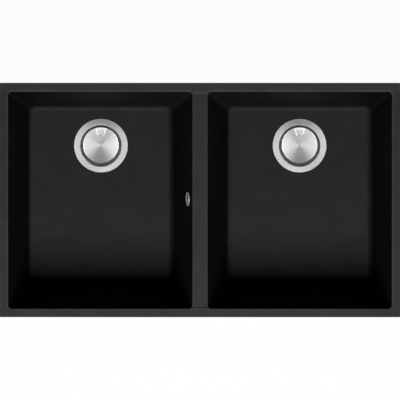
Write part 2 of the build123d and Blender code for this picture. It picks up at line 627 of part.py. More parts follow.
WASTE_FIXED = {
    "waste_flange": waste_flange(),
    "flange_gasket": flange_gasket(),
    "body_gasket": body_gasket(),
    "clamp_screw": clamp_screw(),
    "screw_insert": screw_insert(),
}
WASTE_LIFTING = {
    "basket": basket(),
    "basket_stem": basket_stem(),
    "basket_seal": basket_seal(),
}
COVER_PIECES = {
    "cover": cover(),
    "cover_support": cover_support(),
}
for side, x in (("left", -BOWL_X), ("right", BOWL_X)):
    waste = Pos(x, WASTE_Y, 0)
    for name, piece in (WASTE_FIXED | WASTE_LIFTING).items():
        write(f"{side}_{name}", waste * piece)
    for name, piece in COVER_PIECES.items():
        write(f"{side}_{name}", waste * Pos(0, COVER_SHIFT, 0) * piece)
    write(f"{side}_waste_body", waste * waste_body(with_inlet=(side == "left")))

write("overflow_rosette", rosette())
write("overflow_screw", overflow_screw())
write("overflow_gasket", overflow_gasket())
write("overflow_elbow", overflow_elbow())
write("overflow_insert", overflow_insert())
hose = overflow_hose()
write("overflow_hose", hose)
upper_nut = hose_nut(aimed(HOSE_TOP, DOWN))
lower_nut = hose_nut(aimed(HOSE_END, INLET_WAY))
write("hose_nuts", Compound(children=[upper_nut, lower_nut]))

hose_area = math.pi * (HOSE_ROOT_R**2 - HOSE_BORE_R**2)
print(f"hose: {HOSE_LENGTH:.1f} mm long, bend {HOSE_BEND_R:.0f} mm, volume {hose.volume:.0f} mm3,")
print(f"its plain section times its length would be {hose_area * HOSE_LENGTH:.0f} mm3")
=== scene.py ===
"""Looks of the double bowl sink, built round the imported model. Metres, in the model's frame."""
import json
import math

import bmesh
import bpy
from mathutils import Matrix, Vector

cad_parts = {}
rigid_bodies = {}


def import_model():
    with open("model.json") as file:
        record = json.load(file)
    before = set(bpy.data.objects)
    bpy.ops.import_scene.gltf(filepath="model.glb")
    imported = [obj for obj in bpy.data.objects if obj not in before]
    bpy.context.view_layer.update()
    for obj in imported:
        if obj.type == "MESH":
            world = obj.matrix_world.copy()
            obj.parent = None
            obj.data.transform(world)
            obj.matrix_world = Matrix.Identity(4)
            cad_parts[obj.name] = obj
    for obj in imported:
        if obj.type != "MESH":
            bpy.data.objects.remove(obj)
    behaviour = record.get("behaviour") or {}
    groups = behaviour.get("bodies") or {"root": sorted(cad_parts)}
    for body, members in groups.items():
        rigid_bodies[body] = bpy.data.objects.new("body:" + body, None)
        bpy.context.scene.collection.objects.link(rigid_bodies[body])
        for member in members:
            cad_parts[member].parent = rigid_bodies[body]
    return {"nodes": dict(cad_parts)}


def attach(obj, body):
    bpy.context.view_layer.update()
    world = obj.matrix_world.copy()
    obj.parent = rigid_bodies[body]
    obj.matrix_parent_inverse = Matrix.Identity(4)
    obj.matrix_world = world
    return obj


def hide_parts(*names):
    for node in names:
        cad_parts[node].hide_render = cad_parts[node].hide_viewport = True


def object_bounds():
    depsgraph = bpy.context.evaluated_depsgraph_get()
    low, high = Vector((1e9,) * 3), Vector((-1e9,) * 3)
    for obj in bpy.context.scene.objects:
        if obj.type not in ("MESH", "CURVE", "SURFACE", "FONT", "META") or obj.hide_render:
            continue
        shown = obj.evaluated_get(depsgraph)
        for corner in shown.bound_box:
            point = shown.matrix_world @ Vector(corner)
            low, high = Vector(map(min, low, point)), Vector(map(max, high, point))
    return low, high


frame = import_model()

CAD_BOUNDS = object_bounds()
NODES = frame["nodes"]

# ---- camera, floor and light ---------------------------------------------------------------
PICTURE_WIDTH = 0.8474       # the sink fills the picture from side to side
PICTURE_MIDDLE = (0.0, 0.00053, 0.0)    # a touch to the back of the sink's own middle
LENS = 1600.0                # mm; so far away that nothing converges
SENSOR = 36.0                # mm
CAMERA_TO_BACK = 3.85        # degrees that the camera leans from straight above
CAMERA_TO_RIGHT = 0.15
CLIP_END = 100.0             # well past the camera's distance

LAMP_TARGET = (0.0, 0.0, -0.1)
KEY_ANGLE = 30.0             # degrees off the vertical, in front
KEY_DISTANCE = 2.4           # near enough to light the front a little more than the back
KEY_SIZE = (0.60, 0.90)
KEY_POWER = 64.0             # on matt surfaces
GLOSS_ANGLE = 24.0           # degrees off the vertical, in front and at both sides
GLOSS_DISTANCE = 7.6
KEY_GLOSS_SIZE = (2.2, 3.2)
KEY_GLOSS = 70.0             # on shiny surfaces
SIDE_DISTANCE = 30.0         # so far away that both bowls see them alike
SIDE_SIZE = (8.0, 32.0)
SIDE_GLOSS = 2900.0          # on the pieces in and under the bowls
COVER_SIDE_SIZE = (8.0, 27.0)
COVER_SIDE_GLOSS = 4200.0    # on the cover discs
LEFT_ANGLE = 60.0            # degrees off the vertical
LEFT_DISTANCE = 2.0
LEFT_SIZE = (0.6, 0.6)
LEFT_POWER = 18.0            # on the overflow's cover alone, which faces left
UNDER_WAY = (0.0, 0.1, -1.0)
UNDER_DISTANCE = 2.0
UNDER_SIZE = (1.6, 1.6)
UNDER_POWER = 24.0           # from below, through the floor
WORLD_LIGHT = 0.01
WHITE = (1.0, 1.0, 1.0, 1.0)
FLOOR_MATT = (0.9, 0.9, 0.9, 1.0)
FLOOR_SIZE = 8.0
FLOOR_SHADOW = 0.03          # share of the floor's white that takes the object's shadow

# ---- pieces, in metres ---------------------------------------------------------------------
ROUND = 192                  # points round a turned piece
SMALL_ROUND = 64             # and round a narrow one
SMOOTH_ANGLE = 35.0          # degrees between two faces that still look like one curve
OVERLAP = 0.0010             # how far a form reaches into or past the one it is joined with
WASTE_X = 0.2115             # both wastes, left and right of the middle
WASTE_Y = 0.103
SIDES = {"left": -WASTE_X, "right": WASTE_X}

COVER_R = 0.0388
COVER_SHIFT = 0.0012         # the covers lie a little to the back
COVER_Z = -0.2008            # top of its edge; the middle is lower by its dish
COVER_DISH = 0.0016
COVER_SHEET = 0.0010         # thickness
COVER_SKIRT = 0.0024         # height of its turned-down edge
COVER_EDGE_R = 0.0016
COVER_EDGE_STEPS = 8
COVER_ROUND = 480
COVER_GRID = 0.0005          # between its rings, for a clean recess
TAB_EDGE_Y = 0.0354          # straight upper side of the finger recess
TAB_R = 0.0084               # its round lower end
TAB_CENTRE_Y = 0.0270
TAB_FLARE = 0.37             # its sides spread by this much for each unit of length
TAB_DEPTH = 0.00025
TAB_SLOPE = 0.0015           # width of its stamped, sloping border, on which a highlight is painted

BODY_TOP = -0.2120           # waste body, below its gasket
BODY_BORE_R = 0.0460
BODY_R = 0.0486
BODY_FLANGE_R = 0.0540
BODY_FLANGE = 0.0040         # thickness
BODY_EDGE = 0.0006           # chamfers; the corners that point inwards have wider ones
FUNNEL_Z = -0.2430
OUTLET_Z = -0.2650
OUTLET_END_Z = -0.2930
OUTLET_R = 0.0239            # over the thread
OUTLET_BORE_R = 0.0204
THREAD_PITCH = 0.002309
THREAD_DEPTH = 0.0012
THREAD_FLAT = 1 / 6          # share of the pitch that is flat at the root, and at the crest
THREAD_STEPS = 8             # rings for each turn
THREAD_PLAIN = 0.0030        # plain neck above the thread
SPIDER = 0.0160              # height of the hub that carries the clamp screw
SPIDER_HUB_R = 0.0080
SPIDER_BORE_R = 0.0050
SPIDER_RIB = 0.0030
SPIDER_RIBS = 4
SPIDER_START = 45.0          # degrees from +X to the first rib
SPIDER_INSET = 0.0005        # the ribs end this far inside the hub's height
INLET_Z = -0.2270
INLET_TURN = -26.3           # degrees from +X to the inlet's way
INLET_END = 0.0660
INLET_R = 0.0115
INLET_INSET = 0.0005         # how far it reaches into the bore
NOZZLE = 0.0140              # its narrow end, which the hose's nut holds
NOZZLE_R = 0.0085
NOZZLE_BORE_R = 0.0070
NOZZLE_EDGE = 0.0005

HOSE_ROUTE = (               # down between the bowls, round the bowl's edge, to the waste
    (-0.00307, 0.0, -0.07578),
    (-0.00307, 0.0, -0.12557),
    (-0.00307, 0.0, -0.16844),
    (-0.02229, 0.00950, -0.20556),
    (-0.05557, 0.02594, -0.22700),
    (-0.09400, 0.04493, -0.22700),
    (-0.15233, 0.07376, -0.22700),
)
HOSE_ROOT_R = 0.0100
HOSE_CREST_R = 0.0118
HOSE_BORE_R = 0.0085
HOSE_PITCH = 0.0050
HOSE_CUFF = 0.0210           # plain length at each end
HOSE_RIB_GAIN = 1.6          # flattens the ribs' tops
HOSE_RIB_POWER = 1.2         # widens the roots between them
HOSE_ROUND = 48
HOSE_STEPS = 10              # rings for each rib
HOSE_SMOOTH_ANGLE = 60.0
HOSE_FINENESS = 64           # points of the smooth line for each part of the route

# ---- colours, linear -----------------------------------------------------------------------
COMPOSITE_DARK = (0.0160, 0.0160, 0.0166)
COMPOSITE_LIGHT = (0.0270, 0.0270, 0.0278)
STEEL = (0.575, 0.585, 0.578)
# painted highlight on the finger recess's border
RECESS_HIGHLIGHT_COLOUR = (0.88, 0.89, 0.88)
RECESS_HIGHLIGHT_METALLIC = 0.0       # painted highlight: the line round the recess is bright from every side
FLANGE_STEEL = (0.555, 0.56, 0.555)
BASKET_STEEL = (0.58, 0.58, 0.58)
CHROME = (0.66, 0.66, 0.66)
CHROME_METALLIC = 0.72       # satin: part of its light is scattered
ZINC = (0.55, 0.55, 0.56)
# painted shade: the overflow cover's screw is made dark for the shade in its middle
SCREW_PAINTED_SHADE = (0.16, 0.16, 0.17)
BRASS = (0.70, 0.53, 0.27)
RUBBER = (0.020, 0.020, 0.020)
BLACK_PLASTIC = (0.050, 0.050, 0.051)
WHITE_PLASTIC = (0.74, 0.74, 0.72)
HOSE_PLASTIC = (0.60, 0.61, 0.60)

# ---- how the surfaces vary -----------------------------------------------------------------
ROUGHNESS_RANGE = (0.3, 0.7)            # of a noise, from the smoothest to the roughest
GRAIN_SCALE = 620.0          # of the composite's fine grains
GRAIN_DETAIL = 4.0
GRAIN_SHARE = 0.75           # the rest is a slow change from place to place
GRAIN_HEIGHT = 0.00012
GRAIN_STRENGTH = 0.5
CLOUD_SCALE = 24.0
STONE_RANGE = (0.35, 0.65)   # of the mixed noise, from the dark colour to the light one
STONE_ROUGHNESS = 0.42
STONE_UNEVEN = 0.04          # roughness that the grains add or take away
STONE_SPECULAR = 0.15

RIM_GAIN = 1.49              # the flat faces of rim and divider are paler
BACK_RIM_LIGHT_GAIN = 1.19         # painted light: the back of the rim paler still
EDGE_HIGHLIGHT_GAIN = 1.65             # and painted highlights on their rounded edges
WALL_SHADE_GAIN = 0.5              # painted shade: the walls are darker than the floor
OUTER_WALL_SHADE_GAIN = 0.25       # painted shade, darkest on the two outer walls
BACK_WALL_SHADE_GAIN = 0.72        # painted shade on the back walls, which face the key lamp
WALL_DULLED = 0.35           # roughness that the walls add
RIM_Z = (-0.0036, -0.0032)   # heights from wall to rim
# where the painted light on the rim's back sets in
BACK_RIM_Y = (0.2285, 0.2320)
OUTER_WALL_X = (0.3115, 0.3715)         # from the middle to either side, where the outer walls' painted shade sets in
UPRIGHT_TO_LEVEL = (0.5, 0.9)           # Z of a surface's direction, from wall to floor
LEFT_TO_LEVEL = (-0.40, -0.02)          # X of it, from a wall that faces left to the floor; painted shadow along the floors' right-hand edges
FRONT_TO_LEVEL = (-0.9, -0.6)           # Y of it, from a wall that faces the front
WALL_TO_EDGE = (0.50, 0.80)             # Z of it, from wall to rounded edge, where the painted highlight begins
EDGE_TO_LEVEL = (0.970, 0.998)          # and from there to the flat rim, where it ends

BRUSH_ACROSS = 420.0         # scale of the marks across the piece, where its width is 1
BRUSH_ROUND = 5.0            # and round it, where its radius is 1
BRUSH_DETAIL = 4.0
BRUSH_TINT = 0.10            # lighter or darker by this share
BRUSH_UNEVEN = 0.03
BRUSH_ROTATION = 0.25        # highlights spread across the brush marks

METAL_MARKS = {
    "scale": 2500.0, "detail": 3.0, "height": 0.000004, "strength": 0.3, "uneven": 0.04,
    "cloud scale": 90.0, "dark": 0.94, "light": 1.05,
}
PLASTIC_MARKS = {
    "scale": 700.0, "detail": 2.0, "height": 0.00004, "strength": 0.4, "uneven": 0.05,
    "cloud scale": 60.0, "dark": 0.93, "light": 1.05,
}


# ---- mesh building -------------------------------------------------------------------------
def ring_mesh(name, rings, capped=False):
    """Quads from ring to ring; the last one meets the first, or both ends are closed."""
    count = len(rings[0])
    data = bpy.data.meshes.new(name)
    faces = []
    pairs = range(len(rings) - 1) if capped else range(len(rings))
    for i in pairs:
        near = i * count
        far = (i + 1) % len(rings) * count
        for j in range(count):
            beside = (j + 1) % count
            faces.append((near + j, near + beside, far + beside, far + j))
    if capped:
        last = count * (len(rings) - 1)
        faces += [tuple(reversed(range(count))), tuple(range(last, last + count))]
    data.from_pydata([tuple(point) for ring in rings for point in ring], [], faces)
    return data


def outward(data):
    """The same mesh with its faces turned outwards."""
    shell = bmesh.new()
    shell.from_mesh(data)
    bmesh.ops.recalc_face_normals(shell, faces=shell.faces)
    shell.to_mesh(data)
    shell.free()
    return data


def moved(data, place):
    """The same mesh, put in another place."""
    data.transform(place)
    return data


def finished(name, data, smooth_angle=SMOOTH_ANGLE):
    """An object of that mesh, its faces turned outwards and its curved ones smooth."""
    outward(data)
    data.shade_smooth()
    data.set_sharp_from_angle(angle=math.radians(smooth_angle))
    piece = bpy.data.objects.new(name, data)
    bpy.context.scene.collection.objects.link(piece)
    return piece


def circle(radius, height, count):
    """A ring about the Z axis; the radius may depend on the angle."""
    ring = []
    for j in range(count):
        turn = 2 * math.pi * j / count
        reach = radius(turn) if callable(radius) else radius
        ring.append(Vector((reach * math.cos(turn), reach * math.sin(turn), height)))
    return ring


def turned(outline, count=ROUND):
    """The rings of an outline of radii and heights, turned about the Z axis."""
    return [circle(radius, height, count) for radius, height in outline]


def joined(base, others, operation):
    """The mesh of the base with the others added or cut away."""
    host = bpy.data.objects.new("host", base)
    bpy.context.scene.collection.objects.link(host)
    guests = []
    for data in others:
        guest = bpy.data.objects.new("guest", data)
        bpy.context.scene.collection.objects.link(guest)
        change = host.modifiers.new("change", "BOOLEAN")
        change.operation = operation
        change.solver = "EXACT"
        change.object = guest
        guests.append(guest)
    bpy.context.view_layer.update()
    changed = host.evaluated_get(bpy.context.evaluated_depsgraph_get())
    result = bpy.data.meshes.new_from_object(changed)
    for piece in (host, *guests):
        bpy.data.objects.remove(piece)
    return result


# ---- shader building -----------------------------------------------------------------------
def scaled(colour, gain):
    return tuple(channel * gain for channel in colour)


class Finish:
    """A Principled material whose textures lie in the model's own coordinates."""

    def __init__(self, name, colour, metallic=0.0, roughness=0.5, **sockets):
        self.material = bpy.data.materials.new(name)
        self.material.use_nodes = True
        self.tree = self.material.node_tree
        self.shader = self.tree.nodes["Principled BSDF"]
        self.set("Base Color", (*colour, 1.0))
        self.set("Metallic", metallic)
        self.set("Roughness", roughness)
        for socket, value in sockets.items():
            self.set(socket.replace("_", " "), value)
        self.place = self.node("TexCoord").outputs["Object"]

    def set(self, socket, value):
        self.shader.inputs[socket].default_value = value

    def drive(self, socket, output):
        self.link(output, self.shader.inputs[socket])

    def node(self, kind, **settings):
        made = self.tree.nodes.new("ShaderNode" + kind)
        for setting, value in settings.items():
            setattr(made, setting, value)
        return made

    def link(self, output, socket):
        self.tree.links.new(output, socket)

    def fill(self, made, values):
        for socket, value in values.items():
            if isinstance(value, bpy.types.NodeSocket):
                self.link(value, made.inputs[socket])
            else:
                made.inputs[socket].default_value = value

    def noise(self, scale, detail=2.0, place=None):
        made = self.node("TexNoise")
        self.fill(made, {"Vector": place or self.place, "Scale": scale, "Detail": detail})
        return made.outputs["Fac"]

    def turning(self, across, along):
        """Fine rings about the piece's own upright axis, long round it and narrow across."""
        generated = self.node("TexCoord").outputs["Generated"]
        middle = self.node("VectorMath", operation="SUBTRACT")
        self.fill(middle, {0: generated, 1: (0.5, 0.5, 0.5)})
        level = self.node("VectorMath", operation="MULTIPLY")
        self.fill(level, {0: middle.outputs[0], 1: (1.0, 1.0, 0.0)})
        radius = self.node("VectorMath", operation="LENGTH")
        self.fill(radius, {0: level.outputs[0]})
        spoke = self.node("VectorMath", operation="NORMALIZE")
        self.fill(spoke, {0: level.outputs[0]})
        height = self.node("SeparateXYZ")
        self.fill(height, {0: middle.outputs[0]})
        ringed = self.calc("ADD", radius.outputs["Value"], height.outputs["Z"])
        lift = self.node("CombineXYZ")
        self.fill(lift, {"Z": self.calc("MULTIPLY", ringed, across / along)})
        place = self.node("VectorMath", operation="ADD")
        self.fill(place, {0: spoke.outputs[0], 1: lift.outputs[0]})
        return self.noise(along, detail=BRUSH_DETAIL, place=place.outputs[0])

    def spread(self, value, low, high, to_low, to_high):
        """The value's range, stretched to another one and held at its ends."""
        made = self.node("MapRange")
        inputs = {"From Min": low, "From Max": high, "To Min": to_low, "To Max": to_high}
        self.fill(made, {"Value": value} | inputs)
        return made.outputs["Result"]

    def uneven(self, marks, roughness, change):
        """A roughness that the marks raise and lower."""
        return self.spread(marks, *ROUGHNESS_RANGE, roughness - change, roughness + change)

    def calc(self, operation, first, second=0.0):
        made = self.node("Math", operation=operation)
        self.fill(made, {0: first, 1: second})
        return made.outputs[0]

    def blend(self, share, first, second):
        """From the first colour to the second."""
        made = self.node("Mix", data_type="RGBA")
        self.fill(made, {"Factor": share})
        for socket, colour in (("A", first), ("B", second)):
            inlet = next(i for i in made.inputs if i.name == socket and i.type == "RGBA")
            if isinstance(colour, bpy.types.NodeSocket):
                self.link(colour, inlet)
            else:
                inlet.default_value = (*colour, 1.0)
        return next(o for o in made.outputs if o.type == "RGBA")

    def brightened(self, colour, gain):
        made = self.node("VectorMath", operation="SCALE")
        self.fill(made, {"Vector": colour, "Scale": gain})
        return made.outputs["Vector"]

    def bump(self, height, distance, strength):
        made = self.node("Bump")
        self.fill(made, {"Height": height, "Distance": distance, "Strength": strength})
        self.drive("Normal", made.outputs["Normal"])


def painted_wall_shade(finish, at, facing):
    """Painted shade on the walls, and painted shadow on curves that face left: a wall is known by
    the way it faces, an outer one by its place.
    """
    from_middle = finish.calc("ABSOLUTE", at["X"])
    upright = finish.spread(from_middle, *OUTER_WALL_X, WALL_SHADE_GAIN, OUTER_WALL_SHADE_GAIN)
    level = finish.spread(facing["Z"], *UPRIGHT_TO_LEVEL, upright, 1.0)
    # painted shadow on the curves that face left
    left = finish.spread(facing["X"], *LEFT_TO_LEVEL, WALL_SHADE_GAIN, 1.0)
    front = finish.spread(facing["Y"], *FRONT_TO_LEVEL, BACK_WALL_SHADE_GAIN, 1.0)
    return finish.calc("MULTIPLY", finish.calc("MINIMUM", level, left), front)


def painted_rim_light(finish, at, facing):
    """Painted light on the rim: a paler back, and painted highlights on the rounded edges all
    round it.
    """
    rounded = finish.calc(
        "MULTIPLY",
        finish.spread(facing["Z"], *WALL_TO_EDGE, 0.0, 1.0),
        finish.spread(facing["Z"], *EDGE_TO_LEVEL, 1.0, 0.0),
    )
    edge = finish.spread(rounded, 0.0, 1.0, 1.0, EDGE_HIGHLIGHT_GAIN)
    back = finish.spread(at["Y"], *BACK_RIM_Y, 1.0, BACK_RIM_LIGHT_GAIN)
    return finish.calc("MULTIPLY", edge, back)


def composite():
    """Moulded stone composite: fine grains and slow clouds, painted shade on the walls, a paler
    rim with painted light on its back and edges.
    """
    finish = Finish(
        "composite", COMPOSITE_DARK, roughness=STONE_ROUGHNESS, Specular_IOR_Level=STONE_SPECULAR
    )
    grain = finish.noise(GRAIN_SCALE, detail=GRAIN_DETAIL)
    cloud = finish.noise(CLOUD_SCALE)
    mixed = finish.calc(
        "ADD",
        finish.calc("MULTIPLY", grain, GRAIN_SHARE),
        finish.calc("MULTIPLY", cloud, 1 - GRAIN_SHARE),
    )
    share = finish.spread(mixed, *STONE_RANGE, 0.0, 1.0)
    stone = finish.blend(share, COMPOSITE_DARK, COMPOSITE_LIGHT)
    paler_rim = finish.blend(
        share, scaled(COMPOSITE_DARK, RIM_GAIN), scaled(COMPOSITE_LIGHT, RIM_GAIN)
    )
    place = finish.node("SeparateXYZ")
    finish.link(finish.place, place.inputs[0])
    at = place.outputs
    direction = finish.node("SeparateXYZ")
    finish.link(finish.node("NewGeometry").outputs["Normal"], direction.inputs[0])
    facing = direction.outputs
    # the stone's colour with painted shade on the walls
    stone_with_painted_shade = finish.brightened(stone, painted_wall_shade(finish, at, facing))
    # painted light on the rim's back, and painted highlights on its edges
    paler_rim = finish.brightened(paler_rim, painted_rim_light(finish, at, facing))
    on_rim = finish.spread(at["Z"], *RIM_Z, 0.0, 1.0)
    finish.drive("Base Color", finish.blend(on_rim, stone_with_painted_shade, paler_rim))
    rough = finish.uneven(grain, STONE_ROUGHNESS, STONE_UNEVEN)
    dulled = finish.spread(facing["Z"], *UPRIGHT_TO_LEVEL, WALL_DULLED, 0.0)
    finish.drive("Roughness", finish.calc("ADD", rough, dulled))
    finish.bump(grain, GRAIN_HEIGHT, GRAIN_STRENGTH)
    return finish.material


def turned_steel(name, colour, roughness, anisotropic, recess_highlight=False):
    """Steel with fine concentric brushing, and a painted highlight where the mesh marks the
    recess's border.
    """
    finish = Finish(
        name, colour, metallic=1.0, roughness=roughness,
        Anisotropic=anisotropic, Anisotropic_Rotation=BRUSH_ROTATION,
    )
    tangent = finish.node("Tangent", direction_type="RADIAL", axis="Z")
    finish.drive("Tangent", tangent.outputs["Tangent"])
    marks = finish.turning(BRUSH_ACROSS, BRUSH_ROUND)
    brushed = finish.blend(marks, scaled(colour, 1 - BRUSH_TINT), scaled(colour, 1 + BRUSH_TINT))
    # painted highlight round the finger recess
    if recess_highlight:
        line = finish.node("Attribute", attribute_name="recess_highlight").outputs["Fac"]
        brushed = finish.blend(line, brushed, RECESS_HIGHLIGHT_COLOUR)
        finish.drive("Metallic", finish.spread(line, 0.0, 1.0, 1.0, RECESS_HIGHLIGHT_METALLIC))
    finish.drive("Base Color", brushed)
    finish.drive("Roughness", finish.uneven(marks, roughness, BRUSH_UNEVEN))
    return finish.material


def marked(name, colour, roughness, metallic, marks):
    """A plain surface with fine marks and a slow change of shade."""
    finish = Finish(name, colour, metallic=metallic, roughness=roughness)
    fine = finish.noise(marks["scale"], detail=marks["detail"])
    cloud = finish.noise(marks["cloud scale"])
    dark, light = scaled(colour, marks["dark"]), scaled(colour, marks["light"])
    finish.drive("Base Color", finish.blend(cloud, dark, light))
    finish.drive("Roughness", finish.uneven(fine, roughness, marks["uneven"]))
    finish.bump(fine, marks["height"], marks["strength"])
    return finish.material


def metal(name, colour, roughness, metallic=1.0):
    return marked(name, colour, roughness, metallic, METAL_MARKS)


def plastic(name, colour, roughness):
    return marked(name, colour, roughness, 0.0, PLASTIC_MARKS)


def dress(node, material):
    """Gives a node of the model that material alone."""
    data = NODES[node].data
    data.materials.clear()
    data.materials.append(material)


FINISHES = {
    "sink_body": composite(),
    "waste_flange": turned_steel("flange steel", FLANGE_STEEL, roughness=0.37, anisotropic=0.45),
    "cover": turned_steel("cover steel", STEEL, roughness=0.30, anisotropic=0.60, recess_highlight=True),
    "basket": metal("basket steel", BASKET_STEEL, roughness=0.30),
    "basket_stem": metal("stem steel", BASKET_STEEL, roughness=0.30),
    "clamp_screw": metal("zinc", ZINC, roughness=0.35),
    "screw_insert": metal("brass", BRASS, roughness=0.35),
    "overflow_rosette": metal("satin chrome", CHROME, roughness=0.45, metallic=CHROME_METALLIC),
    # the overflow screw's dark colour is painted shade
    "overflow_screw": metal("screw zinc", SCREW_PAINTED_SHADE, roughness=0.45),
    "overflow_insert": metal("insert brass", BRASS, roughness=0.35),
    "flange_gasket": plastic("rubber", RUBBER, roughness=0.7),
    "body_gasket": plastic("gasket rubber", RUBBER, roughness=0.7),
    "basket_seal": plastic("seal rubber", RUBBER, roughness=0.6),
    "overflow_gasket": plastic("overflow rubber", RUBBER, roughness=0.7),
    "cover_support": plastic("black plastic", BLACK_PLASTIC, roughness=0.5),
    "waste_body": plastic("white plastic", WHITE_PLASTIC, roughness=0.45),
    "overflow_elbow": plastic("elbow plastic", WHITE_PLASTIC, roughness=0.45),
    "hose_nuts": plastic("nut plastic", WHITE_PLASTIC, roughness=0.45),
    "overflow_hose": plastic("hose plastic", HOSE_PLASTIC, roughness=0.5),
}
for node in NODES:
    kind = node
    for side in SIDES:
        kind = kind.removeprefix(side + "_")
    dress(node, FINISHES[kind])


# ---- covers --------------------------------------------------------------------------------
def ramp(way):
    """From 0 to 1 over the width of the recess's border, level at both ends."""
    share = min(max(way / TAB_SLOPE, 0.0), 1.0)
    return share * share * (3 - 2 * share)


def recess(x, y):
    """The finger recess, a shield: its share of the depth at a point, and of the painted highlight
    line.
    """
    if y > TAB_CENTRE_Y:
        inside = TAB_R + (y - TAB_CENTRE_Y) * TAB_FLARE - abs(x)
    else:
        inside = TAB_R - math.hypot(x, y - TAB_CENTRE_Y)
    side = ramp(inside)
    end = ramp(TAB_EDGE_Y - y)
    return min(side, end), 4 * side * (1 - side) * end


def cover_height(radius):
    """Of the dished top, which rises to the height of the disc's edge."""
    return COVER_Z - COVER_DISH * (1 - (radius / COVER_R)**2)


def cover_outline(flat_r, steps):
    """From the middle of the top out, round the edge, down the skirt and back underneath."""
    outline = []
    for i in range(1, steps + 1):
        radius = flat_r * i / steps
        outline.append((radius, cover_height(radius)))
    for i in range(1, COVER_EDGE_STEPS + 1):
        turn = math.pi / 2 * i / COVER_EDGE_STEPS
        drop = COVER_EDGE_R * (1 - math.cos(turn))
        outline.append((flat_r + COVER_EDGE_R * math.sin(turn), COVER_Z - drop))
    inner_r = COVER_R - COVER_SHEET
    outline += [
        (COVER_R, COVER_Z - COVER_SKIRT),
        (inner_r, COVER_Z - COVER_SKIRT),
        (inner_r, cover_height(inner_r) - COVER_EDGE_R),
    ]
    for radius in (flat_r, flat_r / 2, COVER_GRID):
        outline.append((radius, cover_height(radius) - COVER_SHEET))
    return outline


def cover_mesh(name):
    """The disc with its recess stamped in, and the painted highlight round the recess as an
    attribute.
    """
    flat_r = COVER_R - COVER_EDGE_R
    steps = int(flat_r / COVER_GRID)
    rings = turned(cover_outline(flat_r, steps), COVER_ROUND)
    lines = []
    for ring in rings[:steps]:
        for point in ring:
            share, line = recess(point.x, point.y)
            point.z -= TAB_DEPTH * share
            lines.append(line)
    data = ring_mesh(name, rings, capped=True)
    recess_highlight = data.attributes.new("recess_highlight", "FLOAT", "POINT")
    for i, line in enumerate(lines):
        recess_highlight.data[i].value = line
    return data


for side, x in SIDES.items():
    place = Matrix.Translation((x, WASTE_Y + COVER_SHIFT, 0))
    data = moved(cover_mesh(f"{side} cover"), place)
    data.materials.append(FINISHES["cover"])
    cover = finished(f"{side}_cover_disc", data)
    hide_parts(f"{side}_cover")
    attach(cover, f"{side}_cover")


# ---- waste bodies --------------------------------------------------------------------------
def thread_radius(height):
    """A helical thread: the radius at one height depends on the angle."""
    def at(turn):
        share = ((height - OUTLET_END_Z) / THREAD_PITCH + turn / (2 * math.pi)) % 1.0
        ridge = 1 - abs(2 * share - 1)
        flank = (ridge - THREAD_FLAT) / (1 - 2 * THREAD_FLAT)
        return OUTLET_R - THREAD_DEPTH * (1 - min(max(flank, 0.0), 1.0))
    return at


def body_outline():
    """From the flange's top down the outside, over the thread, and up through the bore."""
    root_r = OUTLET_R - THREAD_DEPTH
    flange_end = BODY_TOP - BODY_FLANGE
    thread_top = OUTLET_Z - THREAD_PLAIN
    outline = [
        (BODY_BORE_R, BODY_TOP),
        (BODY_FLANGE_R - BODY_EDGE, BODY_TOP),
        (BODY_FLANGE_R, BODY_TOP - BODY_EDGE),
        (BODY_FLANGE_R, flange_end + BODY_EDGE),
        (BODY_FLANGE_R - BODY_EDGE, flange_end),
        (BODY_R + 3 * BODY_EDGE, flange_end),
        (BODY_R + BODY_EDGE, flange_end - BODY_EDGE),
        (BODY_R, flange_end - 3 * BODY_EDGE),
        (BODY_R, FUNNEL_Z + BODY_EDGE),
        (BODY_R - BODY_EDGE, FUNNEL_Z - BODY_EDGE),
        (root_r + 2 * BODY_EDGE, OUTLET_Z + BODY_EDGE),
        (root_r, OUTLET_Z - BODY_EDGE),
        (root_r, thread_top),
    ]
    steps = int((thread_top - OUTLET_END_Z) / THREAD_PITCH * THREAD_STEPS)
    for i in range(1, steps):
        height = thread_top + (OUTLET_END_Z - thread_top) * i / steps
        outline.append((thread_radius(height), height))
    outline += [
        (root_r, OUTLET_END_Z),
        (OUTLET_BORE_R + BODY_EDGE, OUTLET_END_Z),
        (OUTLET_BORE_R, OUTLET_END_Z + BODY_EDGE),
        (OUTLET_BORE_R, OUTLET_Z),
        (BODY_BORE_R, FUNNEL_Z),
    ]
    return outline


def spider_rib(bottom, top):
    """A bar from inside the hub to inside the outlet's wall."""
    near, far = SPIDER_HUB_R - OVERLAP, (OUTLET_BORE_R + OUTLET_R) / 2
    half = SPIDER_RIB / 2
    corners = [(near, -half), (far, -half), (far, half), (near, half)]
    heights = (bottom + SPIDER_INSET, top - SPIDER_INSET)
    rings = [[Vector((x, y, height)) for x, y in corners] for height in heights]
    return outward(ring_mesh("rib", rings, capped=True))


def spider_mesh():
    """The hub with its ribs."""
    top = OUTLET_Z
    bottom = OUTLET_Z - SPIDER
    hub = [
        (SPIDER_BORE_R, top),
        (SPIDER_HUB_R, top),
        (SPIDER_HUB_R, bottom),
        (SPIDER_BORE_R, bottom),
    ]
    ribs = []
    for i in range(SPIDER_RIBS):
        turn = math.radians(SPIDER_START + 360 * i / SPIDER_RIBS)
        ribs.append(moved(spider_rib(bottom, top), Matrix.Rotation(turn, 4, "Z")))
    return joined(outward(ring_mesh("spider", turned(hub, SMALL_ROUND))), ribs, "UNION")


def inlet_form(name, outline):
    """Turned about the Z axis, then laid along the inlet's own axis."""
    data = outward(ring_mesh(name, turned(outline, SMALL_ROUND), capped=True))
    level = Matrix.Rotation(math.pi / 2, 4, "Y")
    turn = Matrix.Rotation(math.radians(INLET_TURN), 4, "Z")
    return moved(data, Matrix.Translation((0, 0, INLET_Z)) @ turn @ level)


